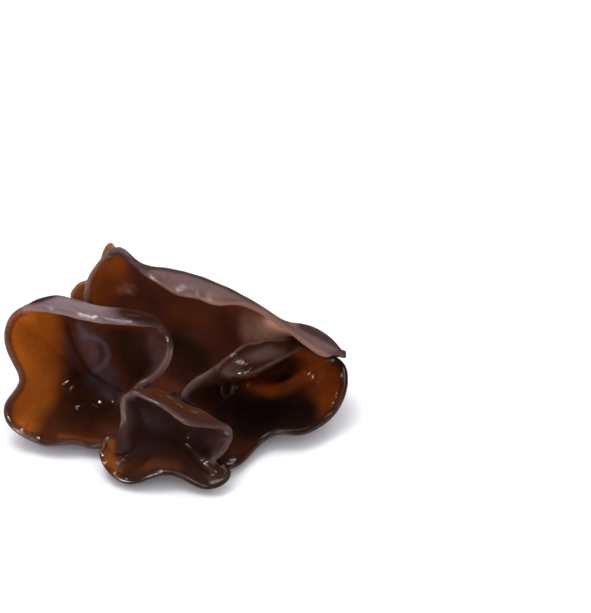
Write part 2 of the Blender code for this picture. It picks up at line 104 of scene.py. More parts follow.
# Where each tone lies, in soft strokes: (strength, width, and the path, across and up). The amber
# glow is painted light coming through thin flesh, the dark is painted shade where none comes
# through and in creases, and the dusky purple-grey carries painted sheen; these three belong to
# the inner face.
LEFT_TONES = {
    "amber_glow": [
        (1.0, 5.2, (-35.0, 22.5), (-33.5, 17.0)),
        (0.62, 4.5, (-33.2, 13.3), (-32.5, 8.0), (-34.3, 3.7), (-34.5, -1.5)),
        (0.5, 4.2, (-29.0, 22.0), (-27.7, 12.0), (-30.0, 4.5)),
        (0.35, 1.3, (-26.0, -4.8), (-16.5, -6.2)),
    ],
    "painted_shade": [
        (0.75, 4.2, (-22.5, 3.0), (-19.0, 1.0), (-13.5, 0.5)),
        (0.4, 3.2, (-24.5, -1.5), (-20.0, -3.0)),
        (0.5, 3.0, (-22.5, 8.5), (-18.5, 6.5)),
        (0.8, 3.8, (-11.0, 15.5), (-8.0, 11.5)),
        (0.6, 0.7, (-24.6, 21.0), (-23.1, 16.1), (-20.3, 11.2), (-16.2, 7.9), (-12.2, 6.0)),
        (0.5, 1.1, (-17.0, 16.6), (-16.3, 14.6), (-16.8, 12.8)),
        (0.6, 3.0, (-9.5, 15.5), (-7.5, 12.0)),
        (0.6, 2.0, (-14.0, 19.5), (-7.0, 18.5)),
    ],
    "dusky_and_sheen": [
        (0.55, 3.6, (-20.0, 18.5), (-18.0, 14.0), (-15.0, 9.5)),
        (0.5, 2.6, (-5.0, 18.0), (-3.0, 15.0), (-4.5, 11.0)),
        (0.75, 2.4, (-18.5, 8.0), (-15.5, 5.8), (-12.0, 4.0)),
        (0.3, 1.6, (-17.0, -2.6), (-13.6, -3.6)),
        # painted sheen along the top of the ring-shaped ridge
        (
            0.8, 0.6, (-20.4, 18.7), (-17.6, 18.4), (-15.5, 16.6), (-14.7, 14.6), (-15.5, 12.4),
            (-17.4, 10.8),
        ),
        # painted sheen in a thin line by the right margin
        (0.7, 0.6, (-1.2, 17.5), (-0.6, 14.5), (-3.2, 10.5)),
        (0.3, 2.0, (-25.5, 18.0), (-23.5, 12.0)),
        # a painted smear of light high in the pocket
        (0.4, 0.9, (-21.9, 21.4), (-21.0, 19.8)),
    ],
    # where the outside shows brown through thin down, and where it is in its own shade
    "bare": [
        (0.5, 4.0, (-13.0, 24.6), (-6.0, 23.6)),
        (1.0, 2.4, (-10.0, 24.4), (-6.0, 23.6), (0.0, 18.8)),
    ],
    "shaded": [
        (0.8, 0.9, (-33.0, 26.6), (-26.0, 28.6), (-17.0, 26.6), (-8.0, 25.2), (-1.0, 22.4)),
        (0.3, 1.4, (-3.0, 21.5), (0.5, 18.5)),
    ],
    # the margin is pale along these, partly its own paler tone and partly painted rim light and glow,
    # and drops of wet stand on the flesh along those
    "lip_and_rim_light": [
        (1.0, 1.0, (-34.0, 25.0), (-27.0, 23.9), (-17.0, 21.8)),
        (0.6, 1.0, (-17.0, 21.8), (-9.0, 21.1)),
        (0.3, 1.0, (-9.0, 21.1), (-3.0, 20.2)),
        (0.4, 1.2, (-0.3, 14.5), (-4.5, 8.7), (-9.0, 5.5)),
    ],
    "beads": [
        (1.0, 0.3, (-25.2, 7.2), (-24.0, 9.0)),
        (1.0, 0.4, (-24.4, 8.6), (-23.0, 10.2)),
        (0.8, 0.3, (-23.6, 7.6), (-22.4, 9.2)),
        (0.4, 1.3, (-24.8, 7.6), (-23.2, 9.8)),
        (1.0, 0.4, (-18.6, 5.6), (-17.0, 3.4)),
        (0.5, 0.9, (-18.9, 5.0), (-17.6, 3.0)),
        (1.0, 0.4, (-14.3, 5.5), (-13.2, 3.4)),
        (0.5, 0.8, (-14.8, 4.6), (-13.8, 3.0)),
        (0.7, 0.6, (-21.8, 2.2), (-20.2, 2.6)),
        (0.5, 0.5, (-19.3, 1.6), (-18.5, 1.8)),
        (1.0, 0.9, (-35.2, -2.5), (-34.9, -3.1)),
        (1.0, 0.8, (-31.8, -4.5), (-31.0, -4.8)),
        (0.8, 0.4, (-33.2, -4.0), (-32.9, -4.1)),
        (0.8, 0.4, (-36.6, -3.1), (-36.0, -3.6)),
        (0.8, 0.5, (-38.4, 0.5), (-38.0, -1.0)),
        (0.4, 0.3, (-21.6, 24.0), (-18.6, 23.4), (-13.8, 22.8)),
        (0.2, 0.4, (-13.8, 22.8), (-6.1, 21.6), (-5.0, 21.0)),
        (0.5, 0.35, (-1.0, 18.5), (-0.2, 15.5), (-0.7, 12.0), (-1.9, 10.1)),
    ],
}
# Fine folds and standing drops of the inner face: (how high, width, and the path, across and up).
LEFT_FOLDS = [
    (
        0.40, 0.9, (-20.8, 18.6), (-18.0, 18.6), (-15.6, 16.6), (-14.7, 13.4), (-16.4, 10.8),
        (-18.8, 10.3),
    ),
    (-0.30, 1.3, (-17.8, 15.4), (-16.8, 12.9)),
    (-0.25, 0.7, (-23.6, 18.0), (-22.6, 14.6), (-20.0, 11.0), (-16.2, 7.9), (-12.2, 6.0)),
    (0.45, 0.6, (-24.8, 7.7), (-23.9, 9.3)),
    (0.45, 0.6, (-23.6, 7.9), (-22.8, 9.4)),
    (0.45, 0.7, (-18.4, 5.4), (-17.2, 3.6)),
    (0.45, 0.7, (-14.4, 5.2), (-13.3, 3.5)),
    (0.20, 0.9, (-21.6, 2.4), (-20.4, 2.8)),
    (0.60, 0.9, (-34.9, -2.2), (-34.7, -2.4)),
    (0.50, 0.7, (-31.6, -4.6), (-31.2, -4.7)),
    (0.35, 0.4, (-33.1, -4.0), (-33.0, -4.1)),
]


def seen(across, up, height):
    """The point at this height on the line of sight through a place in the view."""
    through = across * RIGHT + up * UP_VIEW
    reach = (height - EYE[2]) / (through[2] - EYE[2])
    return EYE + reach * (through - EYE)


def place_in_view(points):
    """Where points show in the view, across and up."""
    away = points - EYE
    depth = away @ AHEAD
    across = VIEW_CENTRE[0] + VIEW_DISTANCE * (away @ RIGHT) / depth
    up = VIEW_CENTRE[1] + VIEW_DISTANCE * (away @ UP_VIEW) / depth
    return np.stack([across, up], axis=-1)


def thin_plate(distance):
    """The bending form of a thin plate round one point that holds it, rounded off at the point."""
    square = distance**2 + ROUNDING**2
    return square * np.log(square) / 2


def sheet_through(margin, margin_behind, shown, hidden):
    """Returns place(out, turn), the smooth surface through an ear's points."""
    margin = np.array([seen(*p) for p in margin] + [np.array(p) for p in margin_behind])
    steps = np.sqrt(np.linalg.norm(np.roll(margin, -1, axis=0) - margin, axis=1))
    turns = np.concatenate([[0.0], np.cumsum(steps)]) / steps.sum()
    number = np.arange(len(turns))
    flat = [(math.cos(2 * math.pi * t), math.sin(2 * math.pi * t)) for t in turns[:-1]]
    held = list(margin)
    for rows, to_point in ((shown, seen), (hidden, lambda *p: np.array(p))):
        for towards, out, *where in rows:
            angle = 2 * math.pi * np.interp(towards % len(margin), number, turns)
            flat.append((out * math.cos(angle), out * math.sin(angle)))
            held.append(to_point(*where))
    flat = np.array(flat)
    held = np.array(held)
    count = len(flat)
    give = np.full(count, SHEET_GIVE)
    give[:len(margin)] = MARGIN_GIVE
    apart = np.linalg.norm(flat[:, None] - flat[None], axis=2)
    level = np.column_stack([np.ones(count), flat])
    system = np.zeros((count + 3, count + 3))
    system[:count, :count] = thin_plate(apart) + np.diag(give)
    system[:count, count:] = level
    system[count:, :count] = level.T
    weights = np.linalg.solve(system, np.vstack([held, np.zeros((3, 3))]))

    def place(out, turn):
        spot = np.stack([out * np.cos(2 * math.pi * turn), out * np.sin(2 * math.pi * turn)], axis=-1)
        points = weights[count] + spot @ weights[count + 1:]
        for centre, weight in zip(flat, weights):
            points = points + thin_plate(np.linalg.norm(spot - centre, axis=-1))[..., None] * weight
        return points

    return place


def bend(normal, middle, axis):
    """How much the sheet bends along one direction of its grid, per millimetre."""
    if axis == 1:
        turned = np.roll(normal, -1, 1) - np.roll(normal, 1, 1)
        moved = np.roll(middle, -1, 1) - np.roll(middle, 1, 1)
    else:
        turned = np.gradient(normal, axis=0)
        moved = np.gradient(middle, axis=0)
    return (turned * moved).sum(-1) / (moved**2).sum(-1)


def lumps(points, size, seed):
    """Smooth bumps about this many millimetres across, from -1 to 1."""
    shift = Vector((seed, 2.0 * seed, 0.0))
    values = [noise.noise(Vector(p) / size + shift) for p in points.reshape(-1, 3)]
    return np.array(values).reshape(points.shape[:-1])


def along_path(spots, width, path):
    """How close places in the view are to a path: 1 on it, and soft to 0 beyond its width."""
    nearest = np.full(len(spots), np.inf)
    for start, end in zip(path, path[1:] or path):
        start = np.array(start)
        way = np.array(end) - start
        share = np.clip((spots - start) @ way / max(way @ way, 1e-9), 0, 1)
        nearest = np.minimum(nearest, np.linalg.norm(spots - start - share[:, None] * way, axis=1))
    return np.exp(-((nearest / width) ** 2))


def brushed(spots, strokes):
    """How much tone soft brush strokes leave at places in the view, from 0 to 1."""
    bare = np.ones(len(spots))
    for strength, width, *path in strokes:
        bare *= 1 - strength * along_path(spots, width, path)
    return 1 - bare


def ringed_faces(rows, spokes):
    """Faces of a closed body whose points are one end, its rings in turn, and the other end."""
    faces = []
    for row in range(rows - 1):
        a = 1 + row * spokes
        b = a + spokes
        for i in range(spokes):
            j = (i + 1) % spokes
            faces.append((a + i, a + j, b + j, b + i))
    last_ring = 1 + (rows - 1) * spokes
    far_end = last_ring + spokes
    for i in range(spokes):
        j = (i + 1) % spokes
        faces.append((0, 1 + j, 1 + i))
        faces.append((far_end, last_ring + i, last_ring + j))
    return faces


def ear(node, place, spokes, rings, inner_first, strokes, folds=()):
    """An ear in full detail, in place of its CAD node, with its tones as attributes of its mesh.

    Its first face is the one on the side that the sheet's normals point to, and inner_first says
    that this is the inner face.
    """
    edge_turns = 10
    turn = np.arange(spokes) / spokes
    small = 1e-3
    edge = np.ones(spokes)
    slope = (place(edge + small, turn) - place(edge - small, turn)) / (2 * small)
    # the rounding of the margin, and not the middle of the flesh, reaches the outline
    reach = 1 - (MARGIN / 2) / np.linalg.norm(slope, axis=-1)
    steps = np.sin(np.linspace(0, math.pi / 2, rings + 1))[1:] ** RING_SPREAD
    out = steps[:, None] * reach
    turn = np.broadcast_to(turn, out.shape)
    middle = place(out, turn)
    along = place(out, turn + small) - place(out, turn - small)
    outward = place(out + small, turn) - place(out - small, turn)
    normal = np.cross(along, outward)
    normal /= np.linalg.norm(normal, axis=-1, keepdims=True)
    centre = place(np.zeros(1), np.zeros(1))[0]
    centre_normal = normal[0].mean(axis=0)
    centre_normal /= np.linalg.norm(centre_normal)
    rim_out = outward[-1] / np.linalg.norm(outward[-1], axis=-1, keepdims=True)

    # soft creases move both faces of the flesh together, and more so near the margin
    crease = SOFT_CREASE * lumps(middle, SOFT_WIDTH, seed=1.0) * out
    crease = crease + FINE_CREASE * lumps(middle, FINE_WIDTH, seed=5.0) * out**4
    half = (FLESH + (MARGIN - FLESH) * out**2) / 2
    sides = []
    for side in (1, -1):
        bends = np.maximum(-side * bend(normal, middle, 0), -side * bend(normal, middle, 1))
        room = TIGHTEST / np.maximum(bends, 1e-6)
        room[-1] = half[-1]
        sides.append(middle + (side * np.minimum(half, room) + crease)[..., None] * normal)
    rim = []
    for step in range(1, edge_turns + 1):
        angle = math.pi * step / (edge_turns + 1)
        around = normal[-1] * math.cos(angle) + rim_out * math.sin(angle)
        rim.append(middle[-1] + half[-1][:, None] * around + crease[-1][:, None] * normal[-1])
    points = np.concatenate([
        [centre + centre_normal * half[0].mean()],
        sides[0].reshape(-1, 3),
        np.array(rim).reshape(-1, 3),
        sides[1][::-1].reshape(-1, 3),
        [centre - centre_normal * half[0].mean()],
    ])

    # 1 on the inner face, 0 on the outer one, and between them round the margin
    past_first = np.concatenate([
        np.zeros(1 + rings * spokes),
        np.repeat(np.arange(1, edge_turns + 1) / (edge_turns + 1), spokes),
        np.ones(1 + rings * spokes),
    ])
    inside = 1 - past_first if inner_first else past_first
    from_margin = (reach - out) * np.linalg.norm(slope, axis=-1)
    near_margin = np.exp(-((from_margin / MARGIN_BAND) ** 2))
    near = np.concatenate([
        [0.0], near_margin.ravel(), np.ones(edge_turns * spokes), near_margin[::-1].ravel(), [0.0],
    ])
    spots = place_in_view(points)
    normals = np.concatenate([
        [centre_normal], normal.reshape(-1, 3), np.zeros((edge_turns * spokes, 3)),
        normal[::-1].reshape(-1, 3), [centre_normal],
    ])
    fold = np.zeros(len(points))
    for high, width, *path in folds:
        fold += high * along_path(spots, width, path)
    fold *= inside * (1 if inner_first else -1)
    points = points + fold[:, None] * normals
    # no crease or fold stands past the box of the CAD ear
    low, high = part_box(node)
    points = np.clip(points, np.array(low) / MM, np.array(high) / MM)

    mesh = bpy.data.meshes.new(node + "_flesh")
    mesh.from_pydata((points * MM).tolist(), [], ringed_faces(2 * rings + edge_turns, spokes))
    mesh.update()
    mesh.shade_smooth()
    masks = {"inside": inside, "near_margin": near}
    for tone, paths in strokes.items():
        masks[tone] = brushed(spots, paths)
    for mask, values in masks.items():
        layer = mesh.attributes.new(mask, "FLOAT", "POINT")
        layer.data.foreach_set("value", values.astype(np.float32))
    piece = bpy.data.objects.new(node + "_flesh", mesh)
    bpy.context.scene.collection.objects.link(piece)
    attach(piece, "root")
    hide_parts(node)
    return piece


class Paint:
    """A socket among a material's nodes, so that maths on it reads as plain expressions."""

    def __init__(self, tree, socket=None):
        self.tree = tree
        self.socket = socket

    def node(self, kind, settings, inputs, output=0):
        """One output of a new node of this kind, made with these settings and inputs."""
        made = self.tree.nodes.new(kind)
        for name, value in settings.items():
            setattr(made, name, value)
        for name, value in inputs.items():
            if isinstance(value, Paint):
                self.tree.links.new(value.socket, made.inputs[name])
            else:
                made.inputs[name].default_value = value
        return Paint(self.tree, made.outputs[output])

    def maths(self, operation, first, second):
        return self.node("ShaderNodeMath", {"operation": operation}, {0: first, 1: second})

    def __add__(self, other):
        return self.maths("ADD", self, other)

    __radd__ = __add__

    def __sub__(self, other):
        return self.maths("SUBTRACT", self, other)

    def __rsub__(self, other):
        return self.maths("SUBTRACT", other, self)

    def __mul__(self, other):
        return self.maths("MULTIPLY", self, other)

    __rmul__ = __mul__

    def between(self, low, high):
        """0 up to low, 1 from high on, and eased between them."""
        settings = {"interpolation_type": "SMOOTHSTEP"}
        return self.node("ShaderNodeMapRange", settings, {0: self, 1: low, 2: high, 3: 0.0, 4: 1.0})

    def mix(self, first, second):
        """The first colour where this is 0, and the second where it is 1."""
        return self.node("ShaderNodeMix", {"data_type": "RGBA"}, {0: self, 6: first, 7: second}, 2)

    def mask(self, name):
        """A number that the mesh holds at each of its points."""
        return self.node("ShaderNodeAttribute", {"attribute_name": name}, {}, "Fac")

    def grain(self, size, detail=2.0, roughness=0.5, stretch=None):
        """Noise about this many millimetres coarse, from 0 to 1."""
        spot = self.node("ShaderNodeTexCoord", {}, {}, "Object")
        if stretch:
            spot = self.node("ShaderNodeMapping", {}, {"Vector": spot, "Scale": stretch})
        inputs = {"Vector": spot, "Scale": 1 / (size * MM), "Detail": detail, "Roughness": roughness}
        return self.node("ShaderNodeTexNoise", {}, inputs)


def shade(red, green, blue):
    """A colour as the eye reads it, 0 to 255, for a colour socket, by the sRGB curve."""
    linear = []
    for level in (red / 255, green / 255, blue / 255):
        linear.append(((level + 0.055) / 1.055) ** 2.4 if level > 0.04045 else level / 12.92)
    return (*linear, 1.0)


def flesh(name, amber_glow, brown, painted_shade, dusky_and_sheen, downy, down_brown, shaded, rim):
    """Wet ear flesh: glossy inside, matt and downy outside, paler at its rim.

    Inside, light is painted into its colour: an amber glow where light comes through the flesh,
    shade where none does, and sheen; the paler rim is partly painted rim light.
    """
    material = bpy.data.materials.new(name)
    material.use_nodes = True
    shader = material.node_tree.nodes["Principled BSDF"]
    paint = Paint(material.node_tree)

    inside = paint.mask("inside").between(0.35, 0.75)
    edge = paint.mask("near_margin").between(0.45, 1.0)
    cloud = paint.grain(5.0, detail=3.0, roughness=0.6)
    fleck = paint.grain(0.8, detail=3.0, roughness=0.6)
    down = paint.grain(0.35, detail=3.0, roughness=0.7)
    patch = paint.grain(9.0)
    wrinkle = paint.grain(2.2, detail=3.0, roughness=0.55)
    # where shade is painted into the flesh, which also keeps the wet film off it
    painted_shade_amount = paint.mask("painted_shade")
    glitter = paint.grain(0.35, roughness=0.6).between(0.38, 0.56)
    beads = paint.mask("beads") * glitter

    # painted light: the amber is the orange glow of light coming through thin flesh
    inner = (paint.mask("amber_glow") * (0.7 + 0.6 * cloud)).between(0.12, 0.95).mix(brown, amber_glow)
    # the dusky purple-grey is partly the flesh's own tone and partly painted sheen and glow
    inner = (paint.mask("dusky_and_sheen") * (0.6 + 0.8 * cloud)).between(0.1, 0.9).mix(inner, dusky_and_sheen)
    # painted shade: darker where the flesh is thick or overlapped, with no light through, and in
    # creases
    inner = (painted_shade_amount * (0.7 + 0.6 * cloud)).between(0.1, 0.9).mix(inner, painted_shade)
    speckle = (0.3 * fleck + 0.7 * down).between(0.4, 0.62)
    inner = (0.25 * speckle).mix(inner, brown)
    # the down is flecked with the pale rim colour, partly painted sheen where its hairs catch light
    outer = (0.22 * speckle).mix(downy, rim)
    thin_down = paint.mask("bare") + 0.5 * (cloud - 0.5) + 0.5 * (down - 0.5) + 0.6 * (patch - 0.5)
    outer = thin_down.between(0.0, 0.9).mix(outer, down_brown)
    outer = (paint.mask("shaded") * (0.5 + cloud)).between(0.1, 0.9).mix(outer, shaded)
    skin = inside.mix(outer, inner)
    # at the margin: the shaded colour, or along the lip the pale rim colour, partly painted rim light
    skin = (edge * (0.5 + 0.6 * (fleck - 0.3))).mix(skin, paint.mask("lip_and_rim_light").mix(shaded, rim))
    film = 0.012 * inside * patch.between(0.35, 0.65) * (1 - painted_shade_amount)
    gloss = 0.12 * edge + 0.05 * (1 - inside) * glitter
    wet = film + gloss * (1 - paint.mask("shaded")) + beads
    roughness = 0.62 - 0.1 * inside + 0.2 * (fleck - 0.5)
    inner_relief = 0.05 * patch + 0.04 * cloud + 0.05 * fleck
    outer_relief = 0.08 * cloud + 0.16 * wrinkle + 0.06 * fleck + 0.03 * down
    relief = inside * inner_relief + (1 - inside) * outer_relief
    bumps = paint.node("ShaderNodeBump", {}, {"Strength": 1.0, "Distance": MM, "Height": relief})

    links = material.node_tree.links
    links.new(skin.socket, shader.inputs["Base Color"])
    links.new(roughness.socket, shader.inputs["Roughness"])
    links.new(wet.socket, shader.inputs["Coat Weight"])
    links.new(bumps.socket, shader.inputs["Normal"])
    shader.inputs["Coat Roughness"].default_value = 0.08
    shader.inputs["Coat IOR"].default_value = 1.34
    shader.inputs["Specular IOR Level"].default_value = 0.0
    shader.inputs["Subsurface Weight"].default_value = 0.25
    shader.inputs["Subsurface Radius"].default_value = (1.0, 0.35, 0.12)
    shader.inputs["Subsurface Scale"].default_value = 2.0 * MM
    return material


left = ear(
    "left_ear", sheet_through(LEFT_MARGIN, [], LEFT_SHOWN, LEFT_HIDDEN),
    SPOKES, RINGS, inner_first=False, strokes=LEFT_TONES, folds=LEFT_FOLDS,
)
# amber, dark and dusky: painted glow, painted shade, and own purple-grey with painted sheen
left.data.materials.append(flesh(
    "left_ear_flesh", amber_glow=shade(194, 102, 31), brown=shade(70, 33, 18), painted_shade=shade(40, 21, 14),
    dusky_and_sheen=shade(84, 67, 72), downy=shade(122, 103, 108), down_brown=shade(52, 26, 20),
    shaded=shade(52, 34, 31), rim=shade(146, 116, 108),
))


# The back ear is a long trough behind the others. Its left end stands up as a curl that the light
# comes through, and its rear edge leans over as a grey downy band that thins out to the right.
BACK_MARGIN = [
    (40.6, 13.8, 14.8), (38.0, 14.2, 15.6), (36.0, 13.7, 16.2), (33.0, 15.2, 18.0),
    (30.0, 17.4, 19.8), (27.0, 19.7, 21.5), (24.0, 22.0, 23.3), (21.0, 24.0, 25.0),
    (18.0, 25.3, 26.2), (15.0, 26.0, 27.0), (12.0, 25.8, 27.5), (9.0, 26.1, 28.0),
    (6.5, 27.2, 28.6), (4.0, 27.7, 29.0), (1.0, 28.2, 29.5), (-1.5, 29.7, 30.0),
    (-4.0, 31.3, 30.6), (-6.5, 33.0, 31.2), (-9.0, 35.1, 31.8), (-11.2, 37.0, 32.0),
    (-13.2, 37.8, 31.6), (-15.2, 37.5, 30.6), (-17.2, 35.8, 29.0), (-19.0, 33.0, 27.0),
    (-20.2, 30.0, 24.5), (-20.3, 27.0, 22.0),
]
BACK_MARGIN_BEHIND = [
    (-19.0, 15.5, 15.0), (-15.5, 14.5, 9.0), (-11.0, 12.0, 5.5), (-7.6, 7.2, 3.1),
    (0.0, 1.0, 4.4), (6.5, 1.5, 4.0), (12.5, 6.5, 2.8), (20.0, 10.5, 3.6),
    (29.0, 12.0, 5.6), (36.5, 11.2, 9.0), (40.5, 8.2, 12.4),
]
BACK_SHOWN = [
    (2, 0.88, 37.0, 15.7, 17.0), (3, 0.88, 33.8, 18.9, 18.9), (4.2, 0.88, 30.0, 20.6, 21.2),
    (5.4, 0.89, 26.4, 21.4, 23.0), (6.8, 0.89, 22.4, 23.9, 25.3), (8.2, 0.88, 18.2, 26.6, 27.4),
    (9.8, 0.86, 13.4, 29.2, 29.2), (11.6, 0.85, 8.0, 31.3, 30.7), (13.4, 0.84, 2.8, 32.9, 31.8),
    (15, 0.84, -1.6, 33.9, 32.4), (16.6, 0.86, -5.4, 34.4, 32.7), (19.6, 0.90, -12.2, 38.9, 32.9),
    (23, 0.70, -15.0, 33.0, 25.0), (24, 0.55, -14.5, 28.0, 19.0), (20, 0.55, -7.0, 27.5, 20.0),
    (14, 0.50, 3.0, 24.0, 17.0), (14, 0.25, 3.0, 18.0, 11.0), (30, 0.30, 3.0, 12.0, 6.0),
    (30, 0.75, 1.5, 8.0, 4.0), (10, 0.50, 12.0, 22.0, 16.0), (9, 0.20, 12.0, 16.0, 9.5),
    (7.5, 0.60, 20.5, 21.0, 18.0), (7, 0.40, 20.0, 17.5, 12.5), (5, 0.60, 27.0, 18.0, 15.5),
]
BACK_HIDDEN = [
    (3, 0.60, 35.0, 9.6, 13.5), (12, 0.66, 6.0, 16.5, 24.0), (18, 0.72, -7.0, 20.5, 26.0),
    (9, 0.70, 15.0, 13.5, 22.0),
]
# as on the left ear: amber painted glow, dark painted shade, dusky partly painted sheen
BACK_TONES = {
    "amber_glow": [
        (0.9, 2.8, (-18.5, 28.0), (-17.0, 33.5), (-12.5, 35.5)),
        (0.5, 3.2, (-12.0, 31.0), (-14.5, 28.0)),
        (0.4, 3.4, (1.0, 24.5), (7.0, 22.5)),
    ],
    "painted_shade": [
        (0.5, 2.5, (-8.0, 29.5), (-4.0, 25.5)),
        (0.5, 2.8, (12.0, 23.0), (13.5, 18.5)),
        (1.0, 4.0, (1.0, 17.0), (6.0, 13.0)),
        (0.7, 2.5, (0.5, 10.0), (4.0, 8.0)),
    ],
    "dusky_and_sheen": [
        # a painted pinkish glow where light comes through the trough's right part
        (0.35, 3.0, (17.5, 22.0), (22.5, 20.0)),
        (1.0, 3.2, (24.0, 20.0), (28.0, 18.0)),
        (0.8, 1.6, (22.8, 19.0), (26.5, 18.0)),
        (0.4, 2.6, (18.0, 18.5), (24.0, 17.5)),
        # a painted haze of sheen, with fine scratches of light, on the curl
        (0.28, 1.8, (-11.6, 29.8), (-8.8, 29.6)),
        (0.15, 0.4, (-13.8, 30.6), (-12.6, 29.2)),
        (0.15, 0.4, (-11.0, 30.8), (-9.0, 30.6)),
        (0.15, 0.4, (-10.6, 29.4), (-8.8, 28.2)),
    ],
    "bare": [
        (0.6, 2.2, (11.0, 28.4), (21.0, 25.0), (29.0, 19.6)),
    ],
    "shaded": [
        (0.8, 0.8, (-9.0, 37.5), (-5.0, 35.0), (4.0, 33.4), (12.0, 30.4), (20.0, 26.4), (27.0, 22.2)),
        (0.7, 1.0, (-12.5, 37.8), (-9.0, 36.4), (-6.0, 34.4)),
        (0.9, 1.3, (30.5, 21.2), (33.0, 19.8), (38.0, 17.2), (41.5, 14.8)),
    ],
    "lip_and_rim_light": [
        (0.5, 1.0, (-6.0, 32.6), (-4.0, 31.3), (4.0, 27.7)),
        (0.85, 1.1, (4.0, 27.7), (12.0, 25.8), (15.0, 26.0), (21.0, 24.0), (30.0, 17.4), (36.0, 13.7)),
        (0.3, 1.2, (-20.3, 27.0), (-19.0, 33.0), (-15.2, 37.5)),
    ],
    "beads": [
        (0.35, 0.3, (-4.5, 31.6), (-1.0, 30.2), (2.4, 29.4)),
        (0.15, 0.2, (-2.0, 31.6), (3.6, 30.0)),
        (0.03, 1.4, (-4.0, 32.0), (1.0, 31.0)),
        (0.10, 0.15, (-13.4, 30.6), (-9.6, 31.0)),
        (0.12, 0.15, (-13.0, 29.7), (-8.6, 30.3)),
        (0.10, 0.15, (-12.4, 28.8), (-8.0, 29.5)),
        (0.10, 0.15, (-11.0, 27.8), (-7.4, 28.6)),
        (0.7, 0.5, (-16.0, 27.6), (-15.4, 27.2)),
    ],
}
BACK_FOLDS = [
    (0.30, 0.4, (-16.4, 28.2), (-16.2, 27.8)),
    (-0.20, 0.8, (-13.5, 29.4), (-9.5, 30.2)),
    (0.20, 0.8, (-12.5, 28.2), (-8.5, 28.9)),
]

back = ear(
    "back_ear", sheet_through(BACK_MARGIN, BACK_MARGIN_BEHIND, BACK_SHOWN, BACK_HIDDEN),
    SPOKES, RINGS, inner_first=False, strokes=BACK_TONES, folds=BACK_FOLDS,
)
# amber and dark: painted glow and shade; the pale dusky is mostly painted glow
back.data.materials.append(flesh(
    "back_ear_flesh", amber_glow=shade(162, 80, 30), brown=shade(106, 54, 38), painted_shade=shade(58, 35, 26),
    dusky_and_sheen=shade(228, 166, 142), downy=shade(98, 79, 81), down_brown=shade(114, 88, 82),
    shaded=shade(66, 48, 50), rim=shade(174, 126, 102),
))


# The right ear is a shallow cup whose rear half is folded down into it as a flap. Its floor is
# thick and nearly black, partly dark flesh and partly painted shade where no light comes through
# it, and its raised right side glows orange, a glow of light through the flesh painted into it.
RIGHT_MARGIN = [
    (2.5, 4.8, 13.0), (4.8, 8.0, 15.0), (8.5, 10.5, 16.5), (12.0, 13.1, 18.0),
    (16.0, 16.2, 19.3), (21.0, 17.6, 19.5), (27.0, 18.4, 18.8), (31.0, 17.0, 16.5),
    (35.0, 15.0, 14.2), (38.8, 13.6, 13.0), (40.8, 11.2, 11.8), (41.0, 7.3, 9.5),
    (39.7, 3.2, 7.0), (37.6, 0.0, 5.0), (34.0, -2.8, 4.0), (30.0, -4.3, 4.0),
    (26.0, -4.0, 4.5), (22.5, -5.0, 3.6), (19.0, -8.0, 2.6), (15.6, -11.3, 2.2),
    (11.8, -12.2, 2.6), (9.6, -8.0, 4.4), (8.6, -2.5, 6.5), (6.0, 1.4, 9.0),
    (3.4, 2.9, 11.0),
]
RIGHT_SHOWN = [
    (0, 0.0, 17.0, 1.5, 3.3),
    (3.3, 0.91, 13.2, 11.3, 17.2), (4.3, 0.92, 17.5, 13.8, 18.6), (5.3, 0.93, 22.0, 15.2, 18.9),
    (6.3, 0.94, 27.5, 17.0, 18.0),
    (3.4, 0.84, 13.5, 9.5, 16.2), (4.2, 0.84, 16.8, 9.6, 17.2), (4.6, 0.845, 18.5, 10.1, 17.5),
    (5.0, 0.85, 20.3, 10.9, 17.6), (5.4, 0.86, 22.3, 11.9, 17.6), (5.8, 0.87, 24.5, 13.2, 17.3),
    (6.6, 0.89, 28.8, 15.7, 16.2),
    (5.0, 0.60, 21.0, 10.4, 9.2), (5.8, 0.62, 25.5, 12.0, 9.9), (6.7, 0.69, 29.5, 13.8, 11.5),
    (4.2, 0.42, 19.0, 8.0, 9.5), (5.4, 0.37, 23.0, 6.8, 9.2), (6.6, 0.43, 27.5, 7.8, 9.4),
    (7.8, 0.58, 31.5, 10.6, 10.2),
    (9.5, 0.66, 34.5, 10.0, 9.6), (11, 0.75, 37.5, 7.0, 7.6), (9.0, 0.30, 26.0, 3.5, 4.4),
    (14, 0.45, 29.0, -0.5, 2.8), (17, 0.50, 21.0, -2.5, 2.5), (20, 0.60, 15.5, -6.5, 2.4),
    (23, 0.55, 10.5, 3.0, 5.5), (1, 0.65, 8.5, 6.5, 9.5), (0, 0.80, 5.0, 5.0, 10.5),
    (12.5, 0.65, 35.0, 2.5, 4.6),
]
RIGHT_HIDDEN = [
    (4.2, 0.73, 17.0, 0.4, 12.8), (5.0, 0.73, 20.5, 3.0, 13.0), (5.8, 0.75, 25.0, 5.6, 13.4),
    (5.4, 0.48, 24.0, 4.0, 6.2),
]
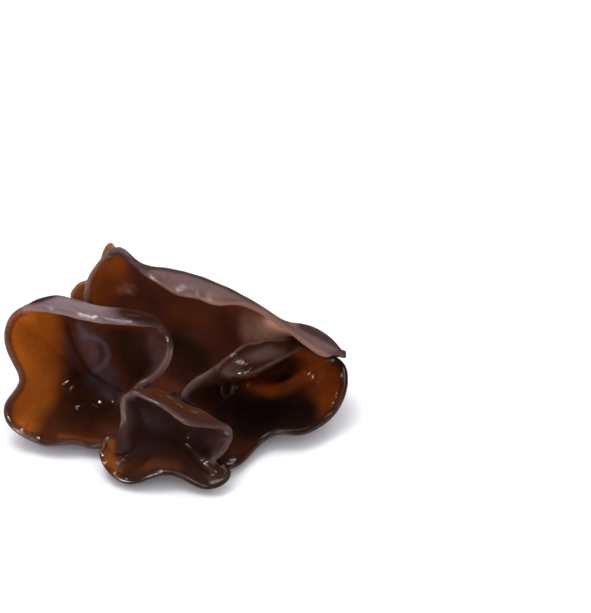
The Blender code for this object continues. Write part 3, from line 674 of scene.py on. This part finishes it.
# as on the left ear: amber painted glow, dark painted shade, dusky partly painted sheen
RIGHT_TONES = {
    "amber_glow": [
        (0.7, 2.0, (18.0, 7.4), (20.5, 6.4), (23.0, 6.0)),
        (0.5, 2.0, (23.0, 6.0), (27.5, 6.2), (31.5, 9.0)),
        (0.9, 3.4, (32.5, 11.5), (36.5, 9.0), (37.0, 5.0)),
        (0.55, 2.4, (37.0, 4.0), (34.0, 0.8)),
        (0.35, 2.6, (32.5, 6.0), (33.0, 3.0)),
        (0.6, 2.2, (30.0, 14.5), (35.0, 13.0)),
        (0.3, 1.6, (22.0, 9.6), (28.0, 11.0)),
        (0.25, 1.4, (16.0, -8.5), (20.0, -6.2), (27.0, -3.0)),
        # a thin painted rim light along the lower edge of the hollow under the flap
        (0.8, 0.5, (19.5, 9.0), (22.1, 7.8), (24.9, 7.2), (27.5, 8.0), (30.1, 9.8), (31.6, 11.1)),
    ],
    "painted_shade": [
        (1.0, 4.0, (17.0, 1.5), (23.0, 0.5), (30.0, 0.0)),
        (0.95, 2.5, (17.0, -3.5), (24.0, -2.8), (28.5, -2.0)),
        (0.6, 3.0, (29.0, -1.0), (32.0, 1.0)),
        (0.6, 2.6, (12.0, 4.5), (9.0, 5.0)),
        (0.6, 2.0, (11.0, 1.0), (12.5, -6.0)),
    ],
    "dusky_and_sheen": [
        (0.45, 1.5, (17.5, 13.8), (23.0, 15.8)),
        (0.45, 1.4, (20.0, 13.5), (26.0, 15.0)),
        (0.5, 1.2, (5.0, 6.8), (9.0, 9.6)),
        (0.3, 0.5, (11.5, 10.2), (13.5, 9.5)),
        (0.25, 1.5, (8.5, 7.0), (11.0, 8.6)),
        (0.45, 1.3, (12.4, 10.8), (14.8, 12.4)),
        (0.45, 1.1, (12.8, 9.8), (16.0, 10.6)),
        # painted sheen round the ring-shaped blister on the floor
        (0.8, 0.35, (11.5, 6.9), (11.6, 5.6), (12.4, 4.0), (13.6, 5.3), (14.0, 6.9)),
        # a painted rim light along the flap's lower edge
        (0.6, 0.5, (13.5, 9.5), (16.4, 9.5), (19.4, 10.3), (22.6, 11.9), (26.0, 13.6), (30.0, 15.8)),
    ],
    "lip_and_rim_light": [
        (0.65, 1.2, (2.5, 4.8), (8.5, 10.5), (14.0, 14.8), (21.0, 17.6), (26.0, 18.3)),
    ],
    "beads": [
        (0.6, 0.15, (15.1, 12.5), (17.3, 13.6)),
        (0.4, 0.15, (15.4, 11.8), (16.8, 12.5)),
        (1.0, 0.25, (15.6, 10.0), (17.5, 11.6)),
        (0.7, 0.2, (16.4, 9.9), (18.2, 10.8)),
        (0.08, 1.0, (15.4, 12.0), (16.8, 11.4)),
        (1.0, 0.6, (11.4, 6.8), (11.5, 5.6), (12.4, 3.6), (13.8, 5.2), (14.2, 6.8)),
        (0.9, 0.4, (17.8, 8.0), (17.8, 7.5)),
        (1.0, 0.6, (32.2, 9.6), (32.7, 8.6)),
        (0.9, 0.4, (38.5, 5.4), (38.5, 4.4)),
        (0.9, 0.4, (37.6, 3.2), (37.1, 2.2)),
        (1.0, 0.4, (13.4, -4.4), (14.0, -5.0)),
        (1.0, 0.5, (14.6, -5.0), (15.4, -5.6)),
        (0.3, 0.2, (13.6, -10.3), (15.6, -10.2)),
    ],
}
RIGHT_FOLDS = [
    (0.45, 0.6, (11.3, 7.0), (11.5, 5.6), (12.5, 3.9), (13.8, 5.4), (14.2, 7.0)),
    (-0.25, 0.7, (12.7, 6.8), (12.7, 5.8)),
    (0.50, 0.5, (17.7, 8.0), (17.8, 7.6)),
    (0.35, 0.7, (32.3, 9.7), (32.6, 8.7)),
    (0.35, 0.4, (38.4, 5.3), (38.4, 4.8)),
    (0.30, 0.4, (37.5, 3.0), (37.3, 2.5)),
    (0.35, 0.7, (14.2, -4.8), (15.4, -5.6)),
]

right = ear(
    "right_ear", sheet_through(RIGHT_MARGIN, [], RIGHT_SHOWN, RIGHT_HIDDEN),
    SPOKES, RINGS, inner_first=True, strokes=RIGHT_TONES, folds=RIGHT_FOLDS,
)
# amber, dark and dusky: painted glow, painted shade, and own purple-grey with painted sheen
right.data.materials.append(flesh(
    "right_ear_flesh", amber_glow=shade(108, 46, 12), brown=shade(48, 23, 13), painted_shade=shade(22, 13, 10),
    dusky_and_sheen=shade(86, 66, 62), downy=shade(104, 82, 82), down_brown=shade(64, 42, 38),
    shaded=shade(40, 24, 20), rim=shade(112, 88, 82),
))


# The front ear is a small four-cornered cup. Its back edge rolls forward, a crease runs down to
# a notch at its right, and its left edge folds in front of an orange lobe.
FRONT_MARGIN = [
    (-11.5, 4.7, 16.0), (-9.0, 4.9, 16.8), (-5.0, 3.2, 17.0), (-2.0, 1.6, 16.8),
    (0.5, -0.3, 16.3), (3.0, -1.9, 15.4), (6.0, -2.7, 14.4), (10.0, -3.0, 13.2),
    (13.4, -3.2, 12.2), (14.1, -5.0, 10.6), (13.1, -7.2, 9.2), (11.6, -9.1, 7.8),
    (9.8, -10.6, 6.4), (11.6, -11.6, 5.0), (13.5, -12.4, 4.4), (13.8, -13.6, 3.6),
    (12.5, -15.6, 2.6), (9.5, -16.9, 2.0), (6.5, -16.6, 2.2), (3.5, -15.0, 3.2),
    (1.0, -13.9, 4.0), (-2.0, -13.6, 4.4), (-5.0, -14.3, 3.8), (-8.0, -15.3, 2.8),
    (-11.0, -15.6, 2.0), (-13.8, -14.2, 2.4), (-16.0, -11.7, 3.2), (-17.0, -8.8, 4.4),
    (-16.3, -6.0, 6.0), (-14.7, -4.2, 7.0), (-13.0, -4.4, 8.4), (-12.0, -3.2, 10.6),
    (-11.7, -0.5, 12.8), (-12.2, 2.5, 14.8),
]
FRONT_SHOWN = [
    (0, 0.0, 0.0, -5.5, 4.6),
    (1.4, 0.88, -7.6, 5.5, 17.9), (2.2, 0.86, -4.4, 5.5, 18.3), (3.3, 0.85, -1.0, 4.4, 18.0),
    (4.6, 0.86, 2.5, 1.9, 16.9), (6, 0.87, 6.5, 0.5, 15.6), (6.8, 0.89, 8.6, -0.5, 14.6),
    (2, 0.45, -6.0, -1.0, 8.6), (4, 0.40, -1.0, -2.5, 7.4), (8, 0.60, 9.0, -4.5, 9.3),
    (10.6, 0.62, 8.6, -8.0, 6.4), (12.6, 0.66, 7.4, -10.6, 5.6), (10.0, 0.36, 4.4, -6.8, 5.4),
    (15, 0.75, 10.0, -13.5, 3.4), (19, 0.60, 2.0, -10.5, 3.4), (22, 0.60, -4.0, -10.5, 3.2),
    (24.6, 0.72, -9.0, -12.4, 2.6), (28, 0.84, -14.6, -8.5, 4.0), (30.6, 0.74, -11.8, -7.0, 9.2),
    (32, 0.72, -9.8, -1.5, 11.8), (27.0, 0.66, -12.4, -10.6, 6.0), (30, 0.46, -8.0, -6.0, 6.2),
]
FRONT_HIDDEN = [
    (2, 0.68, -5.5, -9.0, 14.0), (4.5, 0.66, 1.0, -11.5, 13.0), (7, 0.70, 8.0, -14.5, 10.5),
]
# as on the left ear: amber painted glow, dark painted shade, dusky partly painted sheen
FRONT_TONES = {
    "amber_glow": [
        (1.0, 2.2, (-15.3, -6.5), (-15.0, -10.5), (-13.0, -13.5)),
        (0.5, 2.2, (-9.0, -12.5), (-4.0, -11.0), (1.0, -11.8)),
        (0.25, 1.8, (9.0, -6.6), (10.0, -9.0)),
        (0.25, 1.8, (10.0, -14.5), (12.5, -13.5)),
    ],
    "painted_shade": [
        (0.6, 2.0, (6.0, -5.5), (8.0, -8.0)),
        (0.4, 0.6, (-11.2, -9.4), (-12.8, -12.4)),
        (0.6, 0.7, (3.4, -8.2), (6.8, -12.2)),
        (0.5, 2.5, (2.0, -3.5), (1.0, -6.0)),
    ],
    "dusky_and_sheen": [
        (0.7, 3.0, (-8.5, 0.5), (-4.0, -1.5)),
        (0.7, 1.6, (11.5, -5.5), (10.0, -8.5)),
        (0.5, 1.5, (-10.8, -2.0), (-11.0, -8.0)),
    ],
    "bare": [
        (0.9, 2.5, (-8.0, 5.2), (-1.0, 3.2)),
        (0.6, 2.5, (-1.0, 3.2), (9.0, -1.0)),
    ],
    "lip_and_rim_light": [
        (1.0, 1.0, (-11.0, -6.0), (-11.7, -0.5), (-11.5, 4.7), (-9.0, 4.9), (-2.0, 1.6), (3.0, -1.9)),
        (0.5, 0.9, (3.0, -1.9), (13.4, -3.2)),
        (0.7, 0.9, (13.4, -3.2), (14.1, -5.0), (11.6, -9.1), (10.0, -10.4)),
    ],
    "beads": [
        (1.0, 0.8, (3.4, -6.0), (4.2, -7.4)),
        (0.15, 0.5, (4.8, -7.6), (7.3, -10.7)),
        (1.0, 0.8, (7.2, -10.6), (9.4, -12.8)),
        (0.4, 0.5, (-12.2, -8.5), (-13.2, -13.0)),
        (0.4, 0.5, (-9.6, -7.0), (-12.4, -13.0)),
        (0.7, 0.6, (-9.0, -9.0), (-8.5, -10.6)),
        (1.0, 0.6, (-4.6, 3.2), (-1.6, 2.0)),
        (1.0, 0.5, (-12.2, -14.8), (-10.6, -15.0)),
        (0.9, 0.5, (-5.4, -13.9), (-2.4, -12.9)),
        (0.9, 0.5, (-16.4, -8.4), (-15.8, -10.8)),
        (0.8, 0.5, (-15.4, -5.0), (-14.7, -5.4)),
        (0.8, 0.5, (10.4, -10.4), (12.0, -10.2)),
    ],
}
FRONT_FOLDS = [
    (0.35, 0.6, (-11.6, -8.4), (-12.4, -10.2), (-13.4, -13.2)),
    (0.35, 0.6, (-9.4, -6.2), (-10.8, -9.6), (-12.6, -13.2)),
    (0.40, 0.8, (5.0, -7.8), (5.8, -8.8), (8.4, -11.6)),
    (0.60, 0.9, (3.6, -6.5), (3.8, -6.7)),
    (-0.35, 0.8, (4.8, -4.6), (7.4, -7.6), (9.4, -9.8)),
    (-0.25, 0.6, (9.7, -10.8), (11.2, -12.2), (12.4, -14.0)),
]

front = ear(
    "front_ear", sheet_through(FRONT_MARGIN, [], FRONT_SHOWN, FRONT_HIDDEN),
    SPOKES, RINGS, inner_first=True, strokes=FRONT_TONES, folds=FRONT_FOLDS,
)
# amber, dark and dusky: painted glow, painted shade, and own purple-grey with painted sheen
front.data.materials.append(flesh(
    "front_ear_flesh", amber_glow=shade(116, 62, 22), brown=shade(54, 31, 26), painted_shade=shade(32, 18, 15),
    dusky_and_sheen=shade(66, 49, 49), downy=shade(60, 40, 34), down_brown=shade(68, 34, 18),
    shaded=shade(50, 30, 26), rim=shade(106, 84, 80),
))


# The rear ear is a small lobe pressed against the back of the trough's curl. Its two tips show
# above and beside the curl, thin enough to glow orange.
REAR_SPOKES = 300        # fewer divisions than on the others, because it is small
REAR_RINGS = 60
REAR_MARGIN = [
    (-23.8, 28.4, 17.0), (-22.9, 30.0, 18.3), (-21.6, 31.2, 19.2), (-19.6, 31.5, 20.2),
    (-17.6, 34.0, 23.5), (-16.3, 37.6, 27.6), (-15.5, 39.3, 29.2), (-14.5, 40.5, 30.2),
    (-13.2, 38.6, 29.6),
]
REAR_MARGIN_BEHIND = [
    (-10.5, 24.6, 27.0), (-8.8, 24.8, 22.0), (-9.5, 23.2, 14.0), (-9.8, 17.0, 5.6),
    (-8.0, 10.5, 1.8), (-8.5, 7.0, 1.3), (-11.5, 8.5, 1.4), (-16.5, 14.5, 3.0),
    (-21.0, 20.0, 7.5), (-23.5, 23.0, 12.5),
]
REAR_HIDDEN = [
    (0, 0.0, -15.5, 22.5, 12.0), (4.0, 0.5, -16.0, 25.5, 20.0), (13, 0.6, -10.5, 13.0, 3.8),
]
# the amber and orange lip of the tips are the painted glow of light coming through them
REAR_TONES = {
    "amber_glow": [
        (1.0, 4.0, (-14.5, 38.5), (-16.5, 34.0), (-22.0, 29.5)),
    ],
    "dusky_and_sheen": [
        (0.4, 1.4, (-21.8, 30.0), (-20.6, 30.8)),
    ],
    "lip_and_rim_light": [
        (1.0, 3.0, (-14.5, 40.5), (-16.5, 34.0), (-22.0, 29.5)),
    ],
}

rear = ear(
    "rear_ear", sheet_through(REAR_MARGIN, REAR_MARGIN_BEHIND, [], REAR_HIDDEN),
    REAR_SPOKES, REAR_RINGS, inner_first=True, strokes=REAR_TONES,
)
# amber and the orange rim are painted glow; dark is painted shade
rear.data.materials.append(flesh(
    "rear_ear_flesh", amber_glow=shade(152, 84, 42), brown=shade(70, 34, 22), painted_shade=shade(32, 20, 16),
    dusky_and_sheen=shade(66, 48, 46), downy=shade(104, 84, 84), down_brown=shade(76, 52, 46),
    shaded=shade(72, 50, 46), rim=shade(142, 92, 62),
))


# The foot is the knot that every ear grows from: dense dark flesh, cut flat where the cluster
# left its log. Its skin is matt, lumpy and a little fibrous.
FOOT_DIVISIONS = 3       # new points on each edge of the CAD foot
JOINED = 1e-3            # points of the CAD foot that are nearer than this are one
CUT_FACE = 0.05          # what lies lower than this is the cut, which stays flat
LUMP_DEPTH = 0.16        # how far its skin is sunk between broad lumps, on average
LUMP_WIDTH = 2.2
PIT_DEPTH = 0.08         # and in the small pits on them
PIT_WIDTH = 0.7
SHARP_TURN = math.radians(50)    # edges that turn further stay sharp
foot_node = bpy.data.objects["base"]
foot_shape = bmesh.new()
foot_shape.from_mesh(foot_node.data)
bmesh.ops.remove_doubles(foot_shape, verts=foot_shape.verts, dist=JOINED * MM)
bmesh.ops.subdivide_edges(
    foot_shape, edges=foot_shape.edges, cuts=FOOT_DIVISIONS, use_grid_fill=True,
)
foot_shape.normal_update()
for vertex in foot_shape.verts:
    spot = vertex.co / MM
    if spot.z > CUT_FACE:
        sunk = LUMP_DEPTH * (1 + noise.noise(spot / LUMP_WIDTH))
        sunk += PIT_DEPTH * (1 + noise.noise(spot / PIT_WIDTH))
        vertex.co -= sunk * MM * vertex.normal
foot_mesh = bpy.data.meshes.new("base_flesh")
foot_shape.to_mesh(foot_mesh)
foot_shape.free()
foot_mesh.shade_smooth()
foot_mesh.set_sharp_from_angle(angle=SHARP_TURN)
foot = bpy.data.objects.new("base_flesh", foot_mesh)
bpy.context.scene.collection.objects.link(foot)
foot.matrix_world = foot_node.matrix_world
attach(foot, "root")
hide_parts("base")

foot_material = bpy.data.materials.new("foot_flesh")
foot_material.use_nodes = True
foot_shader = foot_material.node_tree.nodes["Principled BSDF"]
paint = Paint(foot_material.node_tree)
foot_lumps = paint.grain(2.5, detail=4.0, roughness=0.6)
foot_fibres = paint.grain(0.5, detail=3.0, roughness=0.6, stretch=(1.0, 1.0, 0.25))
foot_colour = foot_lumps.between(0.35, 0.65).mix(shade(42, 24, 18), shade(78, 48, 36))
foot_bumps = paint.node(
    "ShaderNodeBump", {}, {"Distance": MM, "Height": 0.3 * foot_lumps + 0.1 * foot_fibres},
)
foot_roughness = 0.6 + 0.3 * foot_fibres
foot_material.node_tree.links.new(foot_colour.socket, foot_shader.inputs["Base Color"])
foot_material.node_tree.links.new(foot_roughness.socket, foot_shader.inputs["Roughness"])
foot_material.node_tree.links.new(foot_bumps.socket, foot_shader.inputs["Normal"])
foot_shader.inputs["Specular IOR Level"].default_value = 0.05
foot_mesh.materials.append(foot_material)


# The studio: a white table and a pale surround, one broad soft light above that shades the
# cluster, and smaller round lamps about it that only put the glints on its wet flesh. The camera
# looks down at the cluster from the front.
TABLE_REACH = 3.0        # from the cluster to each side of the table, in metres
SURROUND_LIGHT = (0.79, 0.79, 0.81, 1.0)     # what the surround adds to the light
SURROUND_SEEN = (0.97, 0.98, 1.0, 1.0)       # and how it looks past the table
LAMP_DISTANCE = 0.75     # from the middle of the table to each lamp, in metres
LAMP_AIM = Vector((0, 0, 0.015))     # the point that every lamp faces, in the cluster
# (name, bearing and height in degrees, size in metres, brightness)
GLINT_LAMPS = [
    ("overhead", -40, 70, 0.22, 40.0),
    ("high_front", 155, 70, 0.22, 44.0),
    ("rear_left", -66, 30, 0.16, 28.0),
    ("rear_right", 24, 46, 0.24, 34.0),
    ("front", -170, 60, 0.18, 36.0),
    ("low_front", -138, 8, 0.34, 52.0),
    ("low_middle", -173, 17, 0.18, 28.0),
    ("middle", -168, 34, 0.18, 28.0),
    ("left", -105, 31, 0.20, 28.0),
    ("low_left", -95, 14, 0.18, 24.0),
    ("low_right", 120, 13, 0.20, 22.0),
]
PICTURE_HEIGHT = 613     # in pixels
PIXELS_PER_MM = 4.275    # at the distance that the view is aimed at
SENSOR = 36.0            # the camera's, along the longer side of the picture, which is its height

table_material = bpy.data.materials.new("white_table")
table_material.use_nodes = True
table_shader = table_material.node_tree.nodes["Principled BSDF"]
paint = Paint(table_material.node_tree)
table_colour = paint.grain(60.0).mix(shade(243, 243, 246), shade(248, 248, 251))
table_material.node_tree.links.new(table_colour.socket, table_shader.inputs["Base Color"])
table_shader.inputs["Roughness"].default_value = 0.6
table_mesh = bpy.data.meshes.new("table")
corners = [(x * TABLE_REACH, y * TABLE_REACH, 0) for x, y in ((-1, -1), (1, -1), (1, 1), (-1, 1))]
table_mesh.from_pydata(corners, [], [(0, 1, 2, 3)])
table_mesh.materials.append(table_material)
table = bpy.data.objects.new("table", table_mesh)
bpy.context.scene.collection.objects.link(table)

surround = bpy.data.worlds.new("surround")
surround.use_nodes = True
bpy.context.scene.world = surround
paint = Paint(surround.node_tree)
looked_at = paint.node("ShaderNodeLightPath", {}, {}, "Is Camera Ray")
surround_colour = looked_at.mix(SURROUND_LIGHT, SURROUND_SEEN)
background = surround.node_tree.nodes["Background"]
surround.node_tree.links.new(surround_colour.socket, background.inputs["Color"])
surround.cycles_visibility.glossy = False


def round_lamp(name, bearing, height, size, brightness):
    """A round lamp that faces the cluster: bearing from straight behind, in degrees clockwise."""
    lamp = bpy.data.lights.new(name, "AREA")
    lamp.shape = "DISK"
    lamp.size = size
    lamp.energy = brightness * math.pi * size**2
    holder = bpy.data.objects.new(name, lamp)
    bpy.context.scene.collection.objects.link(holder)
    level = LAMP_DISTANCE * math.cos(math.radians(height))
    holder.location = (
        level * math.sin(math.radians(bearing)),
        level * math.cos(math.radians(bearing)),
        LAMP_DISTANCE * math.sin(math.radians(height)),
    )
    holder.rotation_mode = "QUATERNION"
    holder.rotation_quaternion = (LAMP_AIM - holder.location).to_track_quat("-Z", "Y")
    return holder


canopy = round_lamp("canopy", bearing=-35, height=68, size=0.60, brightness=3.0)
canopy.visible_glossy = False
for lamp_values in GLINT_LAMPS:
    glint = round_lamp(*lamp_values)
    glint.visible_diffuse = False

lens = bpy.data.cameras.new("camera")
lens.sensor_width = SENSOR
lens.lens = SENSOR * VIEW_DISTANCE / (PICTURE_HEIGHT / PIXELS_PER_MM)
lens.clip_start = 0.01
camera = bpy.data.objects.new("camera", lens)
bpy.context.scene.collection.objects.link(camera)
stand = Matrix((RIGHT, UP_VIEW, -AHEAD)).transposed().to_4x4()
stand.translation = Vector(EYE * MM)
camera.matrix_world = stand
bpy.context.scene.camera = camera
bpy.context.scene.view_settings.view_transform = "Standard"
